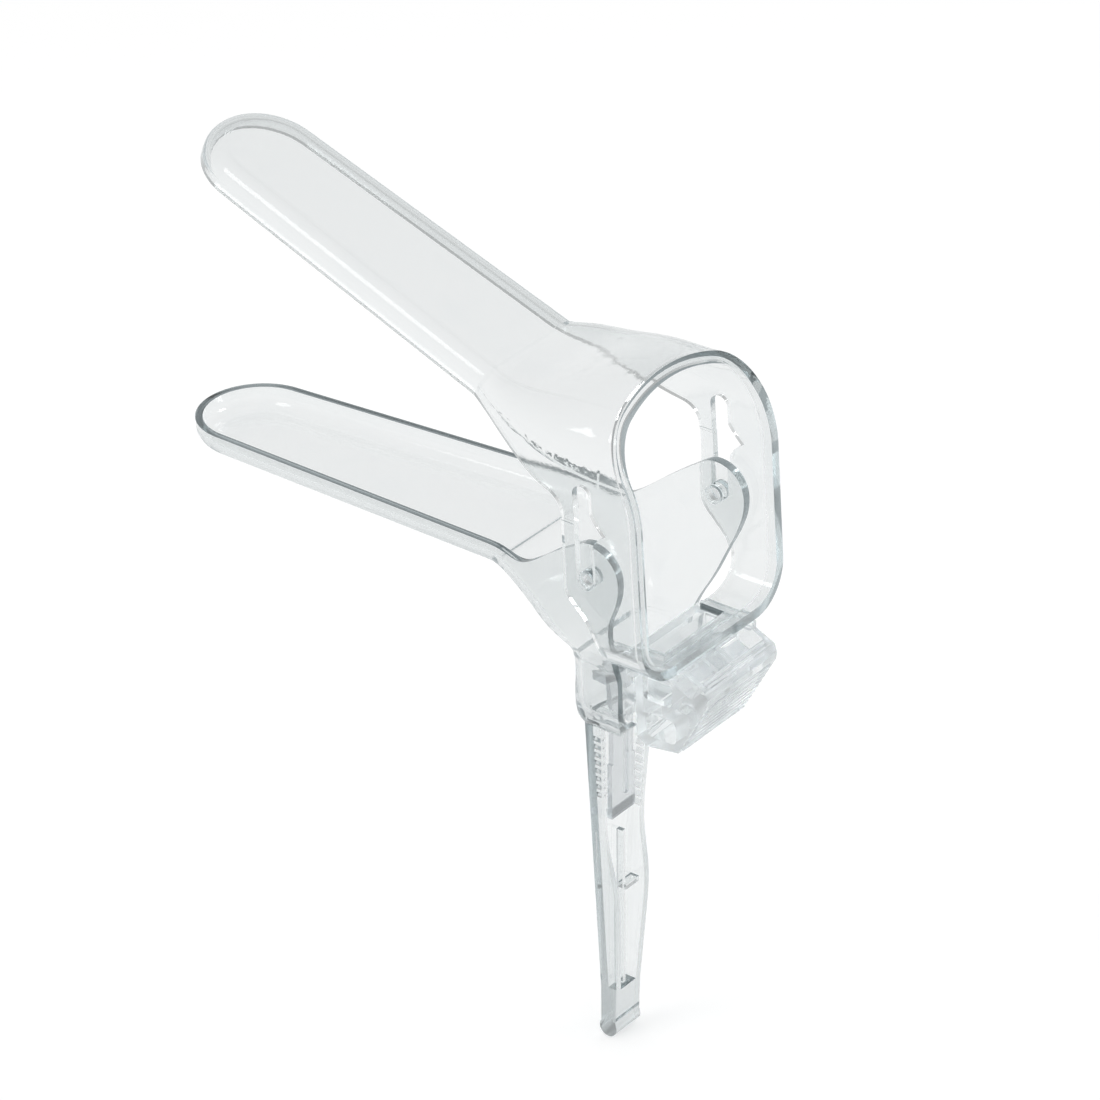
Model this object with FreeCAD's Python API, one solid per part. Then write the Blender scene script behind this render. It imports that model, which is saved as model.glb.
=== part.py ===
import FreeCAD, Part
import math
import os

os.makedirs("parts", exist_ok=True)

# A one-hand bivalve speculum in clear plastic, in millimetres, open as it rests.
# The origin is the middle of the pivot axis, the blades point to -X and +Z is up the handle.

# shells
wall = 1.6
far = 200.0
blade_corner = 4.4
open_reach = 60.0

# upper blade: where its free edge starts, how it climbs and how it narrows
upper_root_x = -34.0
upper_root_z = 27.1
upper_climb = 20.2
upper_depth = 6.0
upper_root_half = 15.4
upper_tip_half = 13.7
upper_straight = 69.8

# lower blade
lower_root_x = -30.0
lower_root_z = -4.8
lower_drop = 1.5
lower_depth = 5.8
lower_root_half = 17.1
lower_tip_half = 13.3
lower_straight = 74.0

# ears of the lower piece and the yoke that closes round them
ear_half = 21.8
ear_wall = 2.0
ear_gap = 0.6
yoke_half = ear_half + ear_gap + wall
yoke_crown = 38.6
yoke_bottom = -21.6
yoke_corner = 10.0
yoke_front = 15.0
bar_back = 9.2
bar_notch_half = 10.2
rim_bead = 0.7
rim_width = 2.2
rim_back = -6.0
loop_top = 12.0

# height slots and pivots
slot_lean = 3.5
slot_travel = 19.0
pivot_radius = 2.0
pivot_shank = 1.5
running_gap = 0.05
head_gap = 0.1
head_recess = 0.35
flange_gap = 0.1
flange_length = 0.8
notch_reach = 5.2
notch_height = 11.0

# throat of the lower piece
throat_centre_x = -30.0
throat_centre_z = -27.0

# housing and handle
cheek_half = 12.4
housing_back = -13.6
housing_front = -0.6
housing_bottom = -44.0
housing_corner = 4.2
handle_back = -11.6
handle_front = -7.9
handle_top_half = 9.2
handle_end_half = 4.2
handle_taper_end = -112.0
handle_end = -121.6
channel_wall = 1.6
channel_back = 1.4
channel_end = -112.0
bead_radius = 2.2
tooth_pitch = 2.0
tooth_depth = 0.8
rack_top = -47.0
near_teeth = 8
far_teeth = 12

# tongue in the channel
tongue_back = -9.9
tongue_front = -8.7
tongue_top = -33.0
tongue_step = -57.0
tongue_end = -69.5
tongue_foot_half = 3.9
tongue_neck_half = 3.4
tongue_head_half = 4.6
housing_inner_back = housing_back - 0.1 + wall

# thumb lever
lever_half = 12.0
lever_back = 1.2
lever_top = -21.6
lever_top_x = 14.9
lever_ridge_x = 20.6
lever_ridge = -24.3
lever_nose_x = 20.9
lever_nose = -27.8
lever_low_x = 13.6
lever_low = -41.4
lever_bay_back = 4.6
lever_bay_floor = -35.0
lever_windows = (
    (5.2, 12.4, -31.2, -24.8, 9.5),
    (5.8, 13.2, -39.8, -34.2, 9.0),
)
rib_pitch = 1.7
rib_radius = 0.45
tail_half = 3.2
tail_end = -6.0


def v(x, y, z):
    return FreeCAD.Vector(x, y, z)


def box(x0, x1, y0, y1, z0, z1):
    return Part.makeBox(x1 - x0, y1 - y0, z1 - z0, v(x0, y0, z0))


def line(a, b):
    return Part.makeLine(a, b)


def arc(a, b, c):
    return Part.Arc(a, b, c).toShape()


def side_prism(edges, y0, y1):
    """Solid between y0 and y1 on an outline drawn in the XZ plane."""
    face = Part.Face(Part.Wire(edges))
    face.translate(v(0, y0, 0))
    return face.extrude(v(0, y1 - y0, 0))


def polygon(points):
    ends = points[1:] + points[:1]
    return [line(v(a[0], 0, a[1]), v(b[0], 0, b[1])) for a, b in zip(points, ends)]


def curve(points):
    spline = Part.BSplineCurve()
    spline.interpolate([v(x, 0, z) for x, z in points])
    return spline.toShape()


def mirrored(shape):
    return shape.mirror(v(0, 0, 0), v(0, 1, 0))


def channel_wire(centre, out, half, mouth_half, floor, corner, crown=0.0, reach=open_reach):
    """Closed channel section; out points from the open side to the floor.

    The corner arc starts upright at the side wall and meets the floor at the crown angle,
    where an arched floor takes over without a break.
    """
    meet = math.radians(crown)
    edge = half - corner * (1 - math.sin(meet))
    rise = edge / math.sin(meet) * (1 - math.cos(meet)) if crown else 0.0
    side = floor - rise - corner * math.cos(meet)
    middle = (math.pi / 2 - meet) / 2

    def at(y, s):
        return centre + v(0, y, 0) + out * s

    def corner_edge(sign):
        start = at(sign * half, side)
        halfway = at(sign * (half - corner * (1 - math.cos(middle))), side + corner * math.sin(middle))
        end = at(sign * edge, floor - rise)
        return arc(start, halfway, end) if sign < 0 else arc(end, halfway, start)

    mouth = floor - reach
    ends = at(-edge, floor - rise), at(edge, floor - rise)
    return Part.Wire([
        line(at(-mouth_half, mouth), at(-half, side)),
        corner_edge(-1),
        arc(ends[0], at(0, floor), ends[1]) if crown else line(*ends),
        corner_edge(1),
        line(at(half, side), at(mouth_half, mouth)),
        line(at(mouth_half, mouth), at(-mouth_half, mouth)),
    ])


def loft(wires, straight=False):
    return Part.makeLoft(wires, True, straight)


def blade_tip(half, depth, corner, centre, along, out):
    """Half round end of a blade, drawn flat and then turned to the blade's own frame."""
    turn = corner * (1 - math.sqrt(0.5))
    outline = Part.Wire([
        line(v(0, 0, -open_reach), v(half, 0, -open_reach)),
        line(v(half, 0, -open_reach), v(half, 0, depth - corner)),
        arc(v(half, 0, depth - corner), v(half - turn, 0, depth - turn), v(half - corner, 0, depth)),
        line(v(half - corner, 0, depth), v(0, 0, depth)),
        line(v(0, 0, depth), v(0, 0, -open_reach)),
    ])
    half_round = Part.Face(outline).revolve(v(0, 0, 0), v(0, 0, 1), 180)
    half_round.rotate(v(0, 0, 0), v(0, 0, 1), -90)
    across = out.cross(along)
    frame = FreeCAD.Matrix(
        along.x, across.x, out.x, centre.x,
        along.y, across.y, out.y, centre.y,
        along.z, across.z, out.z, centre.z,
        0, 0, 0, 1)
    half_round.transformShape(frame)
    return half_round


def upper_frame():
    tilt = math.radians(upper_climb)
    along = v(-math.cos(tilt), 0, math.sin(tilt))
    out = v(math.sin(tilt), 0, math.cos(tilt))
    return v(upper_root_x, 0, upper_root_z), along, out


def lower_frame():
    tilt = math.radians(lower_drop)
    along = v(-math.cos(tilt), 0, -math.sin(tilt))
    out = v(math.sin(tilt), 0, -math.cos(tilt))
    return v(lower_root_x, 0, lower_root_z), along, out


def upper_body(skin):
    """Blade, flare and yoke top as one solid, shrunk by skin for the hollow inside."""
    root, along, out = upper_frame()
    depth = upper_depth - skin
    corner = blade_corner - skin
    end = root + along * upper_straight
    lead_half = upper_root_half + (upper_tip_half - upper_root_half) * 7 / upper_straight
    start_wire = channel_wire(
        root, out, upper_root_half - skin, upper_root_half - skin, depth, corner, reach=14)
    end_wire = channel_wire(
        end, out, upper_tip_half - skin, upper_tip_half - skin, depth, corner, reach=14)
    blade = loft([start_wire, end_wire], True)
    flare = (
        (-27.0, yoke_half - 5.6, 33.0, 5.2, 2.0, 18.0),
        (-20.0, yoke_half - 3.0, 33.9, 7.0, 6.0, 23.0),
        (-13.0, yoke_half - 1.1, 35.7, 9.4, 11.0, 25.0),
        (-5.0, yoke_half - 0.2, 37.6, 12.0, 18.0, 28.0),
        (3.0, yoke_half, yoke_crown, 13.5, 21.0, 30.0),
    )
    lead = channel_wire(
        root + along * 7, out, lead_half - skin, lead_half - skin, depth, corner, reach=14)
    wires = [lead, start_wire]
    for x, half, floor, bend, crown, reach in flare:
        wires.append(channel_wire(
            v(x, 0, 0), v(0, 0, 1), half - skin, half - skin, floor - skin, bend - skin, crown, reach))
    front_wire = wires[-1].copy()
    front_wire.translate(v(yoke_front, 0, 0))
    tip = blade_tip(upper_tip_half - skin, depth, corner, end, along, out)
    return blade.fuse([loft(wires), loft([wires[-1], front_wire], True), tip])


def upper_side_outline():
    """Side view of the upper piece: blade edge, yoke back edge, leaning rim."""
    root, along, out = upper_frame()
    reach = root + along * (upper_straight + upper_tip_half + 3)
    high = reach + out * 20
    lean = math.tan(math.radians(28))
    rim_top = (yoke_front - 4.9 - lean * 21.0, 44.0)
    return [
        line(reach, v(-31.0, 0, 26.0)),
        curve([(-31.0, 26.0), (-24.0, 23.2), (-16.5, 19.6), (-10.0, 17.4)]),
        curve([(-10.0, 17.4), (-7.0, 15.6), (-5.8, 12.0)]),
        line(v(-5.8, 0, 12.0), v(-5.2, 0, -3.0)),
        curve([(-5.2, -3.0), (-4.2, -5.2), (-1.0, -8.2), (2.0, -13.0), (3.2, -18.0)]),
        line(v(3.2, 0, -18.0), v(3.2, 0, -30.0)),
        line(v(3.2, 0, -30.0), v(yoke_front, 0, -30.0)),
        line(v(yoke_front, 0, -30.0), v(yoke_front - 2.6, 0, 14.5)),
        curve([(yoke_front - 2.6, 14.5), (yoke_front - 3.4, 19.0), (yoke_front - 4.9, 23.0)]),
        line(v(yoke_front - 4.9, 0, 23.0), v(rim_top[0], 0, rim_top[1])),
        line(v(rim_top[0], 0, rim_top[1]), v(-20.0, 0, 60.0)),
        line(v(-20.0, 0, 60.0), high),
        line(high, reach),
    ]


def yoke_loop(skin, x0, x1):
    """Lower half of the yoke: two side walls and a bottom bar with round corners."""
    half = yoke_half - skin
    low = yoke_bottom + skin
    bend = yoke_corner - skin
    turn = bend * (1 - math.sqrt(0.5))
    outline = Part.Wire([
        line(v(x0, half, loop_top), v(x0, half, low + bend)),
        arc(v(x0, half, low + bend), v(x0, half - turn, low + turn), v(x0, half - bend, low)),
        line(v(x0, half - bend, low), v(x0, -half + bend, low)),
        arc(v(x0, -half + bend, low), v(x0, -half + turn, low + turn), v(x0, -half, low + bend)),
        line(v(x0, -half, low + bend), v(x0, -half, loop_top)),
        line(v(x0, -half, loop_top), v(x0, half, loop_top)),
    ])
    return Part.Face(outline).extrude(v(x1 - x0, 0, 0))


def slot_outline(grow):
    """Height slot seen from the side: straight back, one round notch in front."""
    r = pivot_radius + grow
    top = slot_travel
    return [
        arc(v(-r, 0, 0), v(0, 0, -r), v(r, 0, 0)),
        line(v(r, 0, 0), v(r, 0, notch_height - 3.4)),
        curve([(r, notch_height - 3.4), (r + 0.7, notch_height - 2.0), (notch_reach, notch_height)]),
        curve([(notch_reach, notch_height), (r + 1.1, notch_height + 2.4), (r, notch_height + 4.2)]),
        line(v(r, 0, notch_height + 4.2), v(r, 0, top)),
        arc(v(r, 0, top), v(0, 0, top + r), v(-r, 0, top)),
        line(v(-r, 0, top), v(-r, 0, 0)),
    ]


def lean_back(shape):
    shape.rotate(v(0, 0, 0), v(0, 1, 0), -slot_lean)
    return shape


def yoke_and_blade(skin):
    """Outer or inner form of the whole upper piece, closed yoke included."""
    upper = upper_body(skin).common(box(-far, far, -far, far, loop_top - 0.5, far))
    return upper.fuse(yoke_loop(skin, -12 - skin, yoke_front + 2 + skin))


def upper_blade():
    """Blade, flare and yoke in one shell, thicker round the front rim, slotted for the studs."""
    outer = yoke_and_blade(0.0)
    side = side_prism(upper_side_outline(), -far, far)
    body = outer.cut(yoke_and_blade(wall)).common(side)
    behind = side.copy()
    behind.translate(v(-rim_width, 0, 0))
    band = outer.cut(yoke_and_blade(wall + rim_bead))
    rim = band.common(side.cut(behind)).common(box(rim_back, far, -far, far, -far, far))
    slots = lean_back(side_prism(slot_outline(running_gap), -far, far))
    notch = box(rim_back, bar_back, -bar_notch_half, bar_notch_half, yoke_bottom - 1, yoke_bottom + 4)
    return body.fuse(rim).cut([slots, notch]).removeSplitter()


def tray_wires(skin, places):
    """Sections of the lower blade at the given distances from its root."""
    root, along, out = lower_frame()
    wires = []
    for place in places:
        half = lower_root_half + (lower_tip_half - lower_root_half) * place / lower_straight - skin
        wires.append(channel_wire(
            root + along * place, out, half, half, lower_depth - skin, blade_corner - skin))
    return wires


def throat_body(skin):
    """Funnel from the blade root round to the housing, sections fanned about one axis."""
    rows = (
        (72, lower_root_half + 0.3, ear_half - 0.4, 14.7, 4.8),
        (56, lower_root_half + 0.8, ear_half + 2.6, 13.8, 5.6),
        (42, lower_root_half + 1.0, ear_half + 6.8, 13.4, 6.4),
        (28, lower_root_half + 0.2, ear_half + 7.4, 13.5, 6.4),
        (12, cheek_half + 2.3, cheek_half + 10.6, 14.7, 5.4),
        (0, cheek_half + 0.5, cheek_half + 5.0, 16.3, 4.4),
    )
    centre = v(throat_centre_x, 0, throat_centre_z)
    wires = tray_wires(skin, (14.0, 0.0))
    for angle, half, mouth, reach, corner in rows:
        turn = math.radians(angle)
        out = v(-math.cos(turn), 0, -math.sin(turn))
        start = centre - out * (reach + skin)
        wires.append(channel_wire(start, out, half - skin, mouth - skin, 0.0, corner - skin))
    return loft(wires)


def housing_body(skin):
    """Upright channel below the throat, open to the front and rounded in at its foot."""
    rows = (
        (throat_centre_z, cheek_half + 0.5, 4.5),
        (housing_bottom + 8.0, cheek_half, 1.0),
        (housing_bottom + 3.0 + skin, cheek_half - 0.6, 0.6),
        (housing_bottom + skin, handle_top_half + 0.6, 0.0),
    )
    wires = []
    for z, half, spread in rows:
        start = v(housing_back - 0.1 + skin, 0, z)
        wires.append(channel_wire(
            start, v(-1, 0, 0), half - skin, half + spread - skin, 0.0, housing_corner - skin))
    return loft(wires)


def lower_side_outline():
    """Side view of throat, ear and housing."""
    return [
        line(v(-60, 0, lower_root_z), v(-29.0, 0, lower_root_z)),
        curve([
            (-29.0, lower_root_z), (-25.5, -5.2), (-21.8, -5.8), (-17.4, -3.9), (-11.5, 0.6),
            (-6.8, 4.0), (-2.2, 6.9)]),
        arc(v(-2.2, 0, 6.9), v(4.4, 0, 5.8), v(7.0, 0, 0.6)),
        curve([
            (7.0, 0.6), (6.4, -4.2), (4.4, -9.4), (3.0, -13.5), (1.7, -17.5), (0.2, -21.0),
            (housing_front, -27.0)]),
        line(v(housing_front, 0, -27.0), v(housing_front, 0, housing_bottom + 3)),
        curve([(housing_front, housing_bottom + 3), (-1.6, housing_bottom + 0.6), (-4.0, housing_bottom)]),
        line(v(-4.0, 0, housing_bottom), v(-60, 0, housing_bottom)),
        line(v(-60, 0, housing_bottom), v(-60, 0, lower_root_z)),
    ]


def lower_tray(skin):
    root, along, out = lower_frame()
    end = root + along * lower_straight
    tip = blade_tip(
        lower_tip_half - skin, lower_depth - skin, blade_corner - skin, end, along, out)
    return loft(tray_wires(skin, (0.0, lower_straight)), True).fuse(tip)


def lower_tray_shell():
    """Shallow tray of the lower blade, cut level along its free edge."""
    root, along, out = lower_frame()
    body = lower_tray(0.0).cut(lower_tray(wall))
    reach = along * 110
    below = Part.Face(Part.makePolygon([
        root, root + reach, root + reach + out * 12, root + out * 12, root]))
    below.translate(v(0, -far, 0))
    return body.common(below.extrude(v(0, 2 * far, 0)))


def handle_half(z):
    share = min(1.0, (housing_bottom - z) / (housing_bottom - handle_taper_end))
    return handle_top_half + (handle_end_half - handle_top_half) * share


def handle_block(x0, x1, skin, levels):
    """Block that narrows downwards, between two depths, with its width set at each level."""
    sides = [(z, 1) for z in levels] + [(z, -1) for z in reversed(levels)]
    corners = [v(x0, side * (handle_half(z) - skin), z) for z, side in sides]
    return Part.Face(Part.makePolygon(corners + corners[:1])).extrude(v(x1 - x0, 0, 0))


def handle_front_cut():
    """What lies ahead of the handle's front edge, which swells softly where the fingers rest."""
    swell = [
        (handle_front, housing_bottom + 4.0), (handle_front, -52.0), (handle_front - 0.7, -66.0),
        (handle_front - 0.5, -76.0), (handle_front + 1.0, -85.0), (handle_front + 1.1, -96.0),
        (handle_front + 0.3, -112.0), (handle_front, handle_end - 3.0)]
    top, end = swell[0], swell[-1]
    ahead = [(end[0], end[1]), (10.0, end[1]), (10.0, top[1]), (top[0], top[1])]
    sides = [line(v(a[0], 0, a[1]), v(b[0], 0, b[1])) for a, b in zip(ahead, ahead[1:])]
    return side_prism([curve(swell)] + sides, -far, far)


def rack(side, count):
    """Row of triangular teeth standing in from one wall of the channel."""
    teeth = []
    for step in range(count):
        z = rack_top - step * tooth_pitch
        root = side * (handle_half(z) - channel_wall + 0.3)
        crest = root - side * (tooth_depth + 0.3)
        corners = [
            v(handle_back + 0.4, root, z),
            v(handle_back + 0.4, root, z - tooth_pitch * 0.9),
            v(handle_back + 0.4, crest, z - tooth_pitch * 0.75),
        ]
        face = Part.Face(Part.makePolygon(corners + corners[:1]))
        teeth.append(face.extrude(v(handle_front - handle_back - 0.9, 0, 0)))
    return teeth


def handle_part():
    """Tapering channel with its two racks, centre rib, cross web and rounded end."""
    body = handle_block(
        handle_back, handle_front + 3, 0.0, (housing_bottom + 1.5, handle_taper_end, handle_end))
    pocket = handle_block(
        handle_back + channel_back, handle_front + 5, channel_wall, (housing_bottom + 3, channel_end))
    body = body.cut([pocket, handle_front_cut()])
    start = v(handle_back + bead_radius - 0.4, -handle_end_half, handle_end)
    bead = Part.makeCylinder(bead_radius, 2 * handle_end_half, start, v(0, 1, 0))
    rib = box(handle_back + 0.4, handle_front - 0.8, -0.5, 0.5, channel_end - 1, -74)
    web_half = handle_half(-88) - 0.8
    web = box(handle_back + 0.4, handle_front - 0.2, 0.0, web_half, -88.6, -87.4)
    return body.fuse([bead, rib, web] + rack(-1, near_teeth) + rack(1, far_teeth))


def lower_blade():
    """Lower blade, throat with both ears, housing and handle in one piece."""
    ahead = box(0, far, -far, far, -far, far)
    ahead.rotate(v(0, 0, 0), v(0, 1, 0), -lower_drop)
    ahead.translate(v(lower_root_x, 0, lower_root_z))
    keep = side_prism(lower_side_outline(), -ear_half, ear_half).common(ahead)
    outer = throat_body(0.0).common(keep).fuse(housing_body(0.0).common(keep))
    inside = box(-far, far, ear_wall - ear_half, ear_half - ear_wall, -far, far)
    throat = outer.cut(throat_body(wall).common(inside)).cut(housing_body(wall).common(inside))
    mouth = box(handle_back + channel_back, 5, -5.9, 5.9, housing_bottom - 1, housing_bottom + 3)
    body = throat.cut(mouth).fuse([lower_tray_shell(), handle_part()])
    hole = Part.makeCylinder(pivot_shank + running_gap, 2 * far, v(0, -far, 0), v(0, 1, 0))
    return body.cut(hole).removeSplitter()


def pivot_button(side):
    """Turning stud: head in the slot, shank in the ear, small flange inside."""
    head_start = ear_half + head_gap
    head_length = yoke_half - head_recess - head_start
    flange_end = ear_half - ear_wall - flange_gap
    across = v(0, 1, 0)
    head = Part.makeCylinder(pivot_radius, head_length, v(0, head_start, 0), across)
    head = head.makeChamfer(0.3, [e for e in head.Edges if e.BoundBox.YMin > head_start + 1])
    shank = Part.makeCylinder(pivot_shank, head_start - flange_end, v(0, flange_end, 0), across)
    flange = Part.makeCylinder(pivot_radius, flange_length, v(0, flange_end - flange_length, 0), across)
    stud = head.fuse([shank, flange]).removeSplitter()
    return stud if side > 0 else mirrored(stud)


def lever_top_frame():
    """Start, direction and normal of the sloping top of the thumb lever."""
    start = v(lever_top_x, 0, lever_top)
    run = v(lever_ridge_x - lever_top_x, 0, lever_ridge - lever_top)
    length = run.Length
    run.normalize()
    return start, run, v(-run.z, 0, run.x), length


def slanted_box(start, run, normal, along0, along1, y0, y1, low, high):
    corners = [
        start + run * along0 + normal * low,
        start + run * along1 + normal * low,
        start + run * along1 + normal * high,
        start + run * along0 + normal * high,
    ]
    return side_prism(polygon([(c.x, c.z) for c in corners]), y0, y1)


def lever_pockets():
    start, run, normal, length = lever_top_frame()
    pockets = []
    for y0, y1 in ((-10.6, -0.8), (0.8, 10.6)):
        pockets.append(slanted_box(start, run, normal, -1.2, length - 2.0, y0, y1, -4.6, 1.2))
    for side in (-1, 1):
        for x0, x1, z0, z1, depth in lever_windows:
            near = side * (lever_half - depth)
            far = side * (lever_half + 3)
            window = box(x0, x1, min(near, far), max(near, far), z0, z1)
            upright = [e for e in window.Edges if abs(e.tangentAt(e.FirstParameter).y) > 0.9]
            pockets.append(window.makeFillet(1.6, upright))
    return pockets


def grip_ribs():
    """Fine ribs across the lever: on its sloping top near the ridge and down its front."""
    ribs = []
    start, run, normal, length = lever_top_frame()
    for step in range(2):
        place = start + run * (length - 0.8 - 0.9 * step)
        ribs.append((place, 10.6))
    down = v(lever_low_x - lever_nose_x, 0, lever_low - lever_nose)
    count = int(down.Length / rib_pitch)
    for step in range(count):
        place = v(lever_nose_x, 0, lever_nose) + down * ((step + 0.5) * rib_pitch / down.Length)
        ribs.append((place, 10.4))
    return [Part.makeCylinder(rib_radius, 2 * half, v(p.x, -half, p.z), v(0, 1, 0)) for p, half in ribs]


def thumb_lever():
    """Hollow wedge under the yoke, ribbed for the thumb, with a hook reaching into the housing."""
    outline = polygon([
        (lever_back, lever_top), (lever_top_x, lever_top), (lever_ridge_x, lever_ridge),
        (21.2, -26.0), (lever_nose_x, lever_nose), (lever_low_x, lever_low), (5.7, -42.6),
        (3.2, -41.0), (3.2, -27.0), (lever_back, -27.0)])
    block = side_prism(outline, -lever_half, lever_half)
    taper = Part.makePolygon([
        v(-10, -lever_half - 0.3, lever_top), v(-10, lever_half + 0.3, lever_top),
        v(-10, lever_half - 0.8, -44), v(-10, 0.8 - lever_half, -44),
        v(-10, -lever_half - 0.3, lever_top)])
    block = block.common(Part.Face(taper).extrude(v(40, 0, 0)))
    plate = box(lever_back, lever_top_x, -lever_half - 1.4, lever_half + 1.4, lever_top - 1.5, lever_top)
    bay = box(
        lever_bay_back, bar_back, -bar_notch_half, bar_notch_half, lever_bay_floor, lever_top + 1)
    block = block.fuse(plate).cut(lever_pockets() + [bay])
    arm = box(tail_end, 4.5, -tail_half, tail_half, -39.6, -37.4)
    hook = side_prism(polygon([
        (tail_end, -37.4), (tail_end + 2.3, -37.4), (tail_end + 2.0, -42.4), (tail_end + 0.9, -43.4),
        (tail_end, -42.6)]), -tail_half, tail_half)
    return block.fuse([arm, hook] + grip_ribs()).removeSplitter()


def channel_tongue():
    """Springy leaf in the handle channel: narrow neck, wider foot, one long slot."""
    back, front, foot_half, head_half = tongue_back, tongue_front, tongue_foot_half, tongue_head_half
    neck = box(back, front, -tongue_neck_half, tongue_neck_half, tongue_step, tongue_top)
    foot = box(back, front, -foot_half, foot_half, tongue_end, tongue_step + 0.5)
    head = box(housing_inner_back, front, -head_half, head_half, tongue_top - 3.0, tongue_top)
    heel = box(handle_back + channel_back, front, -foot_half, foot_half, tongue_end, tongue_end + 2.0)
    leaf = neck.fuse([foot, head, heel])
    slot = box(back - 1, front + 1, 0.4, 1.7, tongue_end + 4.0, tongue_step + 10.5)
    ends = [e for e in slot.Edges if abs(e.tangentAt(e.FirstParameter).x) > 0.9]
    return leaf.cut(slot.makeFillet(0.55, ends)).removeSplitter()


for name, maker in (
    ("upper_blade", upper_blade),
    ("thumb_lever", thumb_lever),
    ("lower_blade", lower_blade),
    ("channel_tongue", channel_tongue),
    ("pivot_stud_left", lambda: pivot_button(1)),
    ("pivot_stud_right", lambda: pivot_button(-1)),
):
    shape = maker()
    if len(shape.Solids) == 1:
        shape = shape.Solids[0]
    print(name, shape.ShapeType, len(shape.Solids), shape.isValid(), round(shape.Volume))
    shape.exportStep("parts/" + name + ".step")
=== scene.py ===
import math

import bmesh
import bpy
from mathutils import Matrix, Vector


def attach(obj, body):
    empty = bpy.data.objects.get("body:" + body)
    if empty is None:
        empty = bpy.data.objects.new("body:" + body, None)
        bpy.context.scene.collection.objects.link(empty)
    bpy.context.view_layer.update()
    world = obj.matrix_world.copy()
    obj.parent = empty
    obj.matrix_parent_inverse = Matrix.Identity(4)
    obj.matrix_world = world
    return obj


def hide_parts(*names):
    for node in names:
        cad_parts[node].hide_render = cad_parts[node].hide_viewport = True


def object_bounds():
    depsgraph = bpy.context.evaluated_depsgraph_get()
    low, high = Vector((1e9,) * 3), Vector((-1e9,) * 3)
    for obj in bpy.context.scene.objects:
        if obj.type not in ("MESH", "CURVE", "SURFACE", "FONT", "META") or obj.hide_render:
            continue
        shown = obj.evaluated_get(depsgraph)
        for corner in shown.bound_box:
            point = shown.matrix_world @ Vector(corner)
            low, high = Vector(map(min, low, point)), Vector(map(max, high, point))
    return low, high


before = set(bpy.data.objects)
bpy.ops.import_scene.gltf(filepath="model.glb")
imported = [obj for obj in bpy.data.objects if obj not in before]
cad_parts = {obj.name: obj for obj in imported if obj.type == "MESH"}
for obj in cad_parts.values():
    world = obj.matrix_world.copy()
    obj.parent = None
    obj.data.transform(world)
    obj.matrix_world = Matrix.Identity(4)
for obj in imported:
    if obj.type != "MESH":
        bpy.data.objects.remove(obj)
cadLow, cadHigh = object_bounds()
scene = bpy.context.scene
scene.view_settings.view_transform = "Standard"

# camera at the photograph's angle: a long lens, the pivot a little right of the middle
photoView = {
    "azimuth": 36.5,  # degrees round from the -Y side towards +X
    "elevation": 30.0,
    "distance": 1.2,
    "lens": 196.36,
    "sensor": 36.0,
    "shiftX": -0.0977,
    "shiftY": -0.0159,
    "clipStart": 0.01,
}


def makeCamera(view):
    turn, rise = math.radians(view["azimuth"]), math.radians(view["elevation"])
    back = Vector((
        math.sin(turn) * math.cos(rise), -math.cos(turn) * math.cos(rise), math.sin(rise)))
    lensData = bpy.data.cameras.new("photoCamera")
    lensData.lens = view["lens"]
    lensData.sensor_width = view["sensor"]
    lensData.shift_x = view["shiftX"]
    lensData.shift_y = view["shiftY"]
    lensData.clip_start = view["clipStart"]
    camera = bpy.data.objects.new("photoCamera", lensData)
    camera.location = back * view["distance"]
    camera.rotation_euler = (-back).to_track_quat("-Z", "Y").to_euler()
    scene.collection.objects.link(camera)
    scene.camera = camera


makeCamera(photoView)
print("camera ready")


# small helpers for building node trees
def addNode(tree, kind, values=None, **settings):
    node = tree.nodes.new(kind)
    for key, value in settings.items():
        setattr(node, key, value)
    for key, value in (values or {}).items():
        node.inputs[key].default_value = value
    return node


def link(tree, source, target):
    tree.links.new(source, target)


# first and second are each a number or another node's output
def mathNode(tree, operation, first, second):
    node = addNode(tree, "ShaderNodeMath", operation=operation)
    for slot, value in enumerate((first, second)):
        if isinstance(value, (int, float)):
            node.inputs[slot].default_value = value
        else:
            link(tree, value, node.inputs[slot])
    return node.outputs[0]


def addSockets(tree, inputs, outputs):
    for label, kind, value in inputs:
        socket = tree.interface.new_socket(label, in_out="INPUT", socket_type=kind)
        if value is not None:
            socket.default_value = value
    for label, kind in outputs:
        tree.interface.new_socket(label, in_out="OUTPUT", socket_type=kind)
    return tree.nodes.new("NodeGroupInput"), tree.nodes.new("NodeGroupOutput")


# slow waves and fine grain of a moulded surface
mouldPattern = {
    "waveSize": 60.0,
    "waveDetail": 2.0,
    "waveRough": 0.4,
    "grainSize": 900.0,
    "grainDetail": 3.0,
    "grainRough": 0.6,
    "grainShare": 0.12,
}


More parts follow.
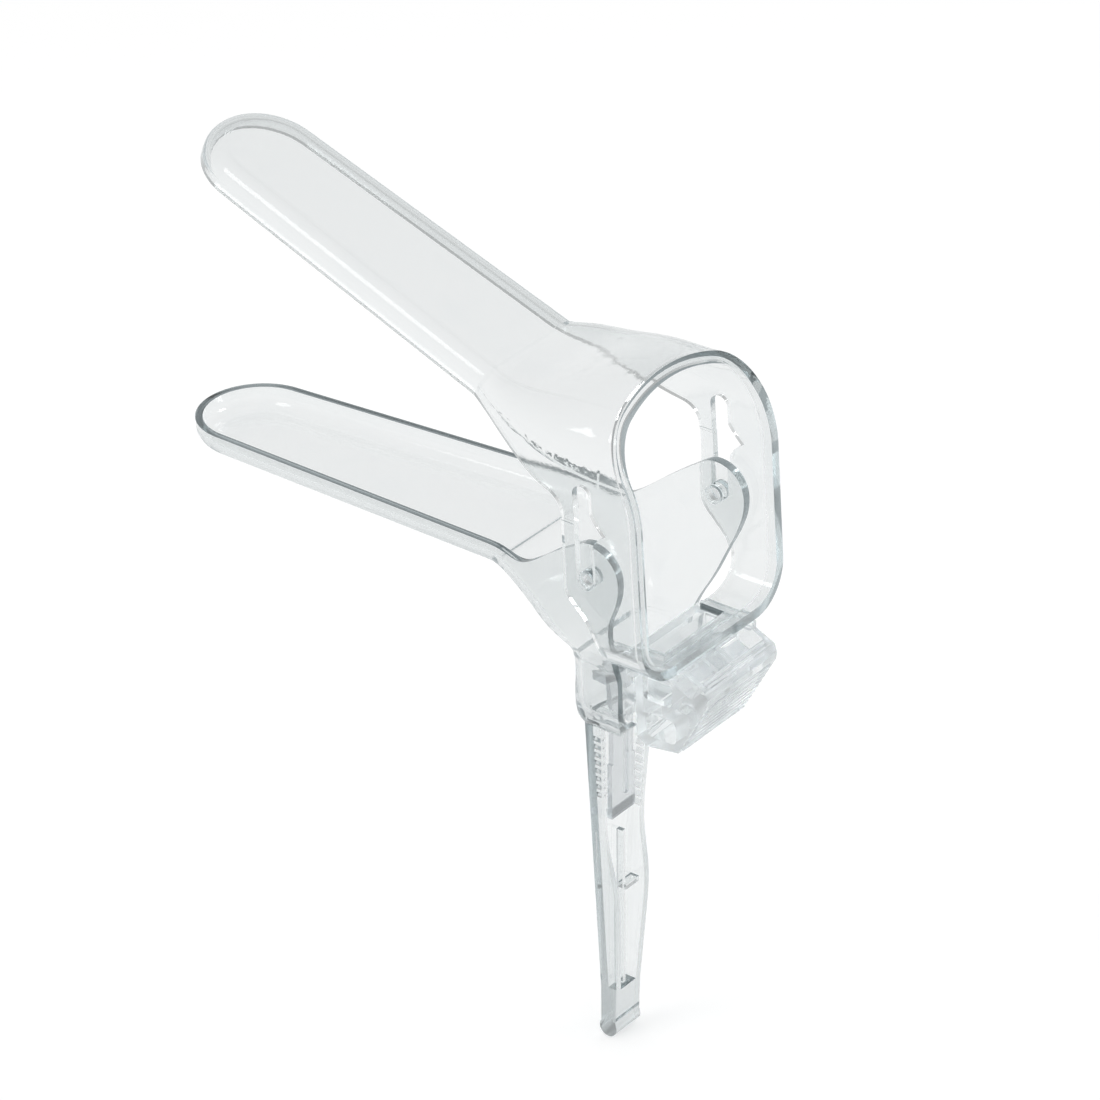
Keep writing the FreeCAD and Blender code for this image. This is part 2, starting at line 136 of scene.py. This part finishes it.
def makeMouldFlow(pattern):
    tree = bpy.data.node_groups.new("mouldFlow", "ShaderNodeTree")
    start, end = addSockets(
        tree,
        [("Vector", "NodeSocketVector", None),
         ("Wave Size", "NodeSocketFloat", pattern["waveSize"]),
         ("Grain Size", "NodeSocketFloat", pattern["grainSize"]),
         ("Grain Share", "NodeSocketFloat", pattern["grainShare"])],
        [("Height", "NodeSocketFloat")])
    waves = addNode(tree, "ShaderNodeTexNoise", {
        "Detail": pattern["waveDetail"], "Roughness": pattern["waveRough"]})
    grain = addNode(tree, "ShaderNodeTexNoise", {
        "Detail": pattern["grainDetail"], "Roughness": pattern["grainRough"]})
    for node, size in ((waves, "Wave Size"), (grain, "Grain Size")):
        link(tree, start.outputs["Vector"], node.inputs["Vector"])
        link(tree, start.outputs[size], node.inputs["Scale"])
    fine = mathNode(tree, "MULTIPLY", grain.outputs["Fac"], start.outputs["Grain Share"])
    link(tree, mathNode(tree, "ADD", waves.outputs["Fac"], fine), end.inputs["Height"])
    return tree


# fine scuffs and the faint haze that handling leaves, as a roughness
hazePattern = {
    "clean": 0.03,
    "hazy": 0.16,
    "patchSize": 35.0,
    "patchDetail": 4.0,
    "patchRough": 0.65,
    "patchRange": (0.52, 0.8),
    "scuffStretch": (40.0, 900.0, 300.0),
    "scuffDetail": 2.0,
    "scuffRange": (0.66, 0.74),
    "scuffShare": 0.7,
}


def makeHandlingHaze(pattern):
    tree = bpy.data.node_groups.new("handlingHaze", "ShaderNodeTree")
    start, end = addSockets(
        tree,
        [("Vector", "NodeSocketVector", None),
         ("Clean", "NodeSocketFloat", pattern["clean"]),
         ("Hazy", "NodeSocketFloat", pattern["hazy"]),
         ("Patch Size", "NodeSocketFloat", pattern["patchSize"])],
        [("Roughness", "NodeSocketFloat"), ("Mask", "NodeSocketFloat")])
    patches = addNode(tree, "ShaderNodeTexNoise", {
        "Detail": pattern["patchDetail"], "Roughness": pattern["patchRough"]})
    link(tree, start.outputs["Vector"], patches.inputs["Vector"])
    link(tree, start.outputs["Patch Size"], patches.inputs["Scale"])
    stretch = addNode(tree, "ShaderNodeMapping", {"Scale": pattern["scuffStretch"]})
    link(tree, start.outputs["Vector"], stretch.inputs["Vector"])
    scuffs = addNode(tree, "ShaderNodeTexNoise", {
        "Scale": 1.0, "Detail": pattern["scuffDetail"]})
    link(tree, stretch.outputs["Vector"], scuffs.inputs["Vector"])
    masks = []
    for noise, (low, high) in ((patches, pattern["patchRange"]), (scuffs, pattern["scuffRange"])):
        ramp = addNode(tree, "ShaderNodeMapRange", {"From Min": low, "From Max": high})
        link(tree, noise.outputs["Fac"], ramp.inputs["Value"])
        masks.append(ramp.outputs["Result"])
    lines = mathNode(tree, "MULTIPLY", masks[1], pattern["scuffShare"])
    mask = mathNode(tree, "MAXIMUM", masks[0], lines)
    span = mathNode(tree, "SUBTRACT", start.outputs["Hazy"], start.outputs["Clean"])
    worn = mathNode(tree, "MULTIPLY", mask, span)
    link(tree, mathNode(tree, "ADD", start.outputs["Clean"], worn), end.inputs["Roughness"])
    link(tree, mask, end.inputs["Mask"])
    return tree


mouldFlow = makeMouldFlow(mouldPattern)
handlingHaze = makeHandlingHaze(hazePattern)


# clear moulded plastic: bends light, takes off a little of it, and lets lamps through
def makeClearPlastic(name, look):
    material = bpy.data.materials.new(name)
    material.use_nodes = True
    tree = material.node_tree
    tree.nodes.clear()
    coords = addNode(tree, "ShaderNodeTexCoord")
    flow = addNode(tree, "ShaderNodeGroup", node_tree=mouldFlow)
    flow.inputs["Wave Size"].default_value = look["waveSize"]
    flow.inputs["Grain Size"].default_value = look["grainSize"]
    haze = addNode(tree, "ShaderNodeGroup", node_tree=handlingHaze)
    haze.inputs["Clean"].default_value = look["clean"]
    haze.inputs["Hazy"].default_value = look["hazy"]
    for node in (flow, haze):
        link(tree, coords.outputs["Object"], node.inputs["Vector"])
    bump = addNode(tree, "ShaderNodeBump", {
        "Strength": look["bump"], "Distance": look["bumpDepth"]})
    link(tree, flow.outputs["Height"], bump.inputs["Height"])
    tint = addNode(tree, "ShaderNodeMix", data_type="RGBA")
    tint.inputs["A"].default_value = look["colour"]
    tint.inputs["B"].default_value = look["hazeColour"]
    link(tree, haze.outputs["Mask"], tint.inputs["Factor"])
    plastic = addNode(tree, "ShaderNodeBsdfPrincipled", {
        "IOR": look["ior"], "Transmission Weight": look["clear"], "Metallic": 0.0,
        "Emission Color": look["deepGlow"]})
    link(tree, tint.outputs["Result"], plastic.inputs["Base Color"])
    link(tree, haze.outputs["Roughness"], plastic.inputs["Roughness"])
    link(tree, bump.outputs["Normal"], plastic.inputs["Normal"])
    rays = addNode(tree, "ShaderNodeLightPath")
    # the plastic gives off a painted grey glow where light has turned three times inside a wall,
    # a stand-in for light that is lost because the renderer follows only four turns
    lost = mathNode(tree, "GREATER_THAN", rays.outputs["Glossy Depth"], look["glowAfter"])
    link(tree, lost, plastic.inputs["Emission Strength"])
    through = addNode(tree, "ShaderNodeBsdfTransparent", {"Color": look["shadowColour"]})
    mix = addNode(tree, "ShaderNodeMixShader")
    link(tree, rays.outputs["Is Shadow Ray"], mix.inputs["Fac"])
    link(tree, plastic.outputs["BSDF"], mix.inputs[1])
    link(tree, through.outputs["BSDF"], mix.inputs[2])
    out = addNode(tree, "ShaderNodeOutputMaterial")
    link(tree, mix.outputs["Shader"], out.inputs["Surface"])
    absorb = addNode(tree, "ShaderNodeVolumeAbsorption", {
        "Color": look["depthColour"], "Density": look["depth"]})
    link(tree, absorb.outputs["Volume"], out.inputs["Volume"])
    return material


shellLook = {
    "colour": (0.96, 0.97, 0.97, 1.0),
    "hazeColour": (0.92, 0.94, 0.945, 1.0),
    "shadowColour": (0.93, 0.94, 0.945, 1.0),
    # painted grey glow that the plastic gives off where light has turned inside a wall
    "deepGlow": (0.27, 0.283, 0.29, 1.0),
    "glowAfter": 2.5,  # turns of light inside a wall
    "depthColour": (0.44, 0.49, 0.50, 1.0),
    "depth": 128.0,  # how fast the tint deepens with thickness
    "ior": 1.57,
    "clear": 1.0,
    "clean": 0.03,
    "hazy": 0.10,
    "waveSize": 55.0,
    "grainSize": 1400.0,
    "bump": 0.07,
    "bumpDepth": 0.0005,
}
# the lever and the leaf are a little milky
leverLook = dict(
    shellLook, colour=(0.945, 0.96, 0.965, 1.0), deepGlow=(0.28, 0.29, 0.295, 1.0), depth=24.0,
    ior=1.5, clear=0.8, clean=0.05, hazy=0.14, waveSize=120.0)
leafLook = dict(
    shellLook, colour=(0.86, 0.88, 0.89, 1.0), depthColour=(0.40, 0.42, 0.44, 1.0), depth=110.0,
    clear=0.85, hazy=0.2)

shellPlastic = makeClearPlastic("shellPlastic", shellLook)
leverPlastic = makeClearPlastic("leverPlastic", leverLook)
leafPlastic = makeClearPlastic("leafPlastic", leafLook)
print("materials ready")


# live modifiers become a plain mesh on the same object
def bakeDown(piece):
    bpy.context.view_layer.update()
    evaluated = piece.evaluated_get(bpy.context.evaluated_depsgraph_get())
    mesh = bpy.data.meshes.new_from_object(evaluated)
    piece.modifiers.clear()
    piece.data = mesh


copyFit = {
    "mergeReach": 1e-6,
    "flatAngle": 0.4,
    "seamHeight": -0.0216,  # underside of the yoke
    "seamReach": 0.00002,
    "seamGap": 0.00003,
}


# a copy of a frame piece with its loose triangles merged, and flat ones joined where asked
def mergedCopy(nodeName, pieceName, joinFlat):
    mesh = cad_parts[nodeName].data.copy()
    if "custom_normal" in mesh.attributes:
        mesh.attributes.remove(mesh.attributes["custom_normal"])
    shape = bmesh.new()
    shape.from_mesh(mesh)
    bmesh.ops.remove_doubles(shape, verts=shape.verts, dist=copyFit["mergeReach"])
    if joinFlat:
        flat = math.radians(copyFit["flatAngle"])
        bmesh.ops.dissolve_limit(
            shape, angle_limit=flat, verts=shape.verts, edges=shape.edges)
    # two clear faces in one place render dark, so the top of the lever drops clear of the yoke;
    # four points of the lower shell lie at that height and drop with it
    for vert in shape.verts:
        if abs(vert.co.z - copyFit["seamHeight"]) < copyFit["seamReach"]:
            vert.co.z -= copyFit["seamGap"]
    shape.to_mesh(mesh)
    shape.free()
    piece = bpy.data.objects.new(pieceName, mesh)
    scene.collection.objects.link(piece)
    return piece


# softly rounded edges, as a polished mould leaves them
def roundEdges(piece, size):
    soft = piece.modifiers.new("softEdges", "BEVEL")
    soft.limit_method = "ANGLE"
    soft.angle_limit = math.radians(size["edgeAngle"])
    soft.width = size["edgeRound"]
    soft.segments = size["edgeSteps"]
    soft.use_clamp_overlap = True


# smooth shade with crisp corners, where wide faces keep their own direction
def evenShade(piece, size):
    piece.data.shade_smooth()
    piece.data.set_sharp_from_angle(angle=math.radians(size["crispAngle"]))
    even = piece.modifiers.new("evenShade", "WEIGHTED_NORMAL")
    even.weight = size["wideWeight"]
    even.keep_sharp = True
    bakeDown(piece)


def finishPiece(piece, material, body, nodeName):
    piece.data.materials.clear()
    piece.data.materials.append(material)
    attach(piece, body)
    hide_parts(nodeName)
    print(piece.name, len(piece.data.polygons), "faces")


# frame pieces whose shape is right keep their mesh and get the clear plastic
for nodeName, material in (
        ("upper_blade", shellPlastic), ("channel_tongue", leafPlastic),
        ("pivot_stud_left", shellPlastic), ("pivot_stud_right", shellPlastic)):
    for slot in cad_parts[nodeName].material_slots:
        slot.material = material
print("upper blade, leaf and studs ready")

lowerSize = {"crispAngle": 26.0, "wideWeight": 60}
lowerShell = mergedCopy("lower_blade", "lowerShell", False)
evenShade(lowerShell, lowerSize)
finishPiece(lowerShell, shellPlastic, "lower", "lower_blade")
print("lower shell ready")


# fine ribs across the front of the thumb lever, joined to its block
def makeRibTree():
    tree = bpy.data.node_groups.new("fineRibs", "GeometryNodeTree")
    start, end = addSockets(
        tree,
        [("Geometry", "NodeSocketGeometry", None),
         ("Count", "NodeSocketInt", 8),
         ("Start", "NodeSocketVector", (0.0, 0.0, 0.0)),
         ("Step", "NodeSocketVector", (0.0, 0.0, -0.001)),
         ("Radius", "NodeSocketFloat", 0.0003),
         ("Length", "NodeSocketFloat", 0.02),
         ("Sides", "NodeSocketInt", 10),
         ("Material", "NodeSocketMaterial", None)],
        [("Geometry", "NodeSocketGeometry")])
    places = addNode(tree, "GeometryNodeMeshLine", mode="OFFSET")
    rod = addNode(tree, "GeometryNodeMeshCylinder", {"Side Segments": 1})
    lay = addNode(tree, "GeometryNodeTransform", {"Rotation": (math.pi / 2, 0.0, 0.0)})
    spread = addNode(tree, "GeometryNodeInstanceOnPoints")
    real = addNode(tree, "GeometryNodeRealizeInstances")
    joined = addNode(tree, "GeometryNodeMeshBoolean", operation="UNION")
    coat = addNode(tree, "GeometryNodeSetMaterial")
    for source, output, target, socket in (
            (start, "Count", places, "Count"),
            (start, "Start", places, "Start Location"),
            (start, "Step", places, "Offset"),
            (start, "Sides", rod, "Vertices"),
            (start, "Radius", rod, "Radius"),
            (start, "Length", rod, "Depth"),
            (rod, "Mesh", lay, "Geometry"),
            (places, "Mesh", spread, "Points"),
            (lay, "Geometry", spread, "Instance"),
            (spread, "Instances", real, "Geometry"),
            (start, "Geometry", joined, "Mesh 2"),
            (real, "Geometry", joined, "Mesh 2"),
            (joined, "Mesh", coat, "Geometry"),
            (start, "Material", coat, "Material"),
            (coat, "Geometry", end, "Geometry")):
        link(tree, source.outputs[output], target.inputs[socket])
    return tree


def setInputs(modifier, values):
    for item in modifier.node_group.interface.items_tree:
        if item.item_type == "SOCKET" and item.in_out == "INPUT" and item.name in values:
            modifier[item.identifier] = values[item.name]


leverSize = {
    "edgeAngle": 28.0,
    "edgeRound": 0.0003,
    "edgeSteps": 3,
    "crispAngle": 26.0,
    "wideWeight": 60,
}
leverRibs = {
    "Count": 8,
    "Start": (0.020096, 0.0, -0.029298),
    "Step": (-0.000804, 0.0, -0.001498),
    "Radius": 0.00025,
    "Length": 0.0206,
    "Sides": 10,
}
leverBlock = mergedCopy("thumb_lever", "leverBlock", True)
roundEdges(leverBlock, leverSize)
ribs = leverBlock.modifiers.new("fineRibs", "NODES")
ribs.node_group = makeRibTree()
setInputs(ribs, dict(leverRibs, Material=leverPlastic))
bakeDown(leverBlock)
evenShade(leverBlock, leverSize)
finishPiece(leverBlock, leverPlastic, "upper", "thumb_lever")
print("lever ready")

# pale floor and a surround, white at the horizon and grey overhead, that the plastic shows too
stageLook = {
    "floorSize": 3.0,
    "floorDrop": 0.0005,
    "floorColour": (0.9, 0.9, 0.9, 1.0),
    "floorRough": 0.9,
    "floorGlow": 0.22,
    "surround": 1.0,
    "overhead": 0.55,
    "fadeRange": (0.05, 0.75),  # sine of the angle above the horizon where white turns grey
    "fill": 0.70,
}
# a lamp that isn't mirrored leaves no bright stripe in the hollow blades
lamps = {
    "keyLamp": {
        "place": (-0.5, -0.9, 1.1), "size": (0.6, 0.6), "power": 5.0, "mirrored": False},
    "rimLamp": {
        "place": (0.8, 0.7, 0.7), "size": (0.3, 0.3), "power": 2.5, "mirrored": True},
}
white = (1.0, 1.0, 1.0, 1.0)


def isSeenRay(tree):
    rays = addNode(tree, "ShaderNodeLightPath").outputs
    seen = mathNode(tree, "MAXIMUM", rays["Is Camera Ray"], rays["Is Transmission Ray"])
    return mathNode(tree, "MAXIMUM", seen, rays["Is Glossy Ray"])


def makeFloor(look):
    half, z = look["floorSize"], cadLow.z - look["floorDrop"]
    corners = [(-half, -half, z), (half, -half, z), (half, half, z), (-half, half, z)]
    mesh = bpy.data.meshes.new("floor")
    mesh.from_pydata(corners, [], [(0, 1, 2, 3)])
    floor = bpy.data.objects.new("floor", mesh)
    scene.collection.objects.link(floor)
    material = bpy.data.materials.new("paleFloor")
    material.use_nodes = True
    tree = material.node_tree
    paint = tree.nodes["Principled BSDF"].inputs
    paint["Base Color"].default_value = look["floorColour"]
    paint["Roughness"].default_value = look["floorRough"]
    paint["Specular IOR Level"].default_value = 0.0
    paint["Emission Color"].default_value = white
    glow = mathNode(tree, "MULTIPLY", isSeenRay(tree), look["floorGlow"])
    link(tree, glow, paint["Emission Strength"])
    mesh.materials.append(material)


def makeWorld(look):
    world = bpy.data.worlds.new("studio")
    world.use_nodes = True
    scene.world = world
    tree = world.node_tree
    ground = tree.nodes["Background"].inputs
    ground["Color"].default_value = white
    coords = addNode(tree, "ShaderNodeTexCoord")
    split = addNode(tree, "ShaderNodeSeparateXYZ")
    link(tree, coords.outputs["Generated"], split.inputs["Vector"])
    low, high = look["fadeRange"]
    dome = addNode(tree, "ShaderNodeMapRange", {
        "From Min": low, "From Max": high,
        "To Min": look["surround"], "To Max": look["overhead"]})
    link(tree, split.outputs["Z"], dome.inputs["Value"])
    seen = isSeenRay(tree)
    extra = mathNode(tree, "SUBTRACT", dome.outputs["Result"], look["fill"])
    span = mathNode(tree, "MULTIPLY", seen, extra)
    link(tree, mathNode(tree, "ADD", span, look["fill"]), ground["Strength"])


def makeLamp(name, look):
    lampData = bpy.data.lights.new(name, "AREA")
    lampData.shape = "RECTANGLE"
    lampData.size, lampData.size_y = look["size"]
    lampData.energy = look["power"]
    lamp = bpy.data.objects.new(name, lampData)
    lamp.location = look["place"]
    lamp.rotation_euler = (-Vector(look["place"])).to_track_quat("-Z", "Y").to_euler()
    lamp.visible_glossy = look["mirrored"]
    scene.collection.objects.link(lamp)


makeFloor(stageLook)
makeWorld(stageLook)
for name, look in lamps.items():
    makeLamp(name, look)
print("stage ready")
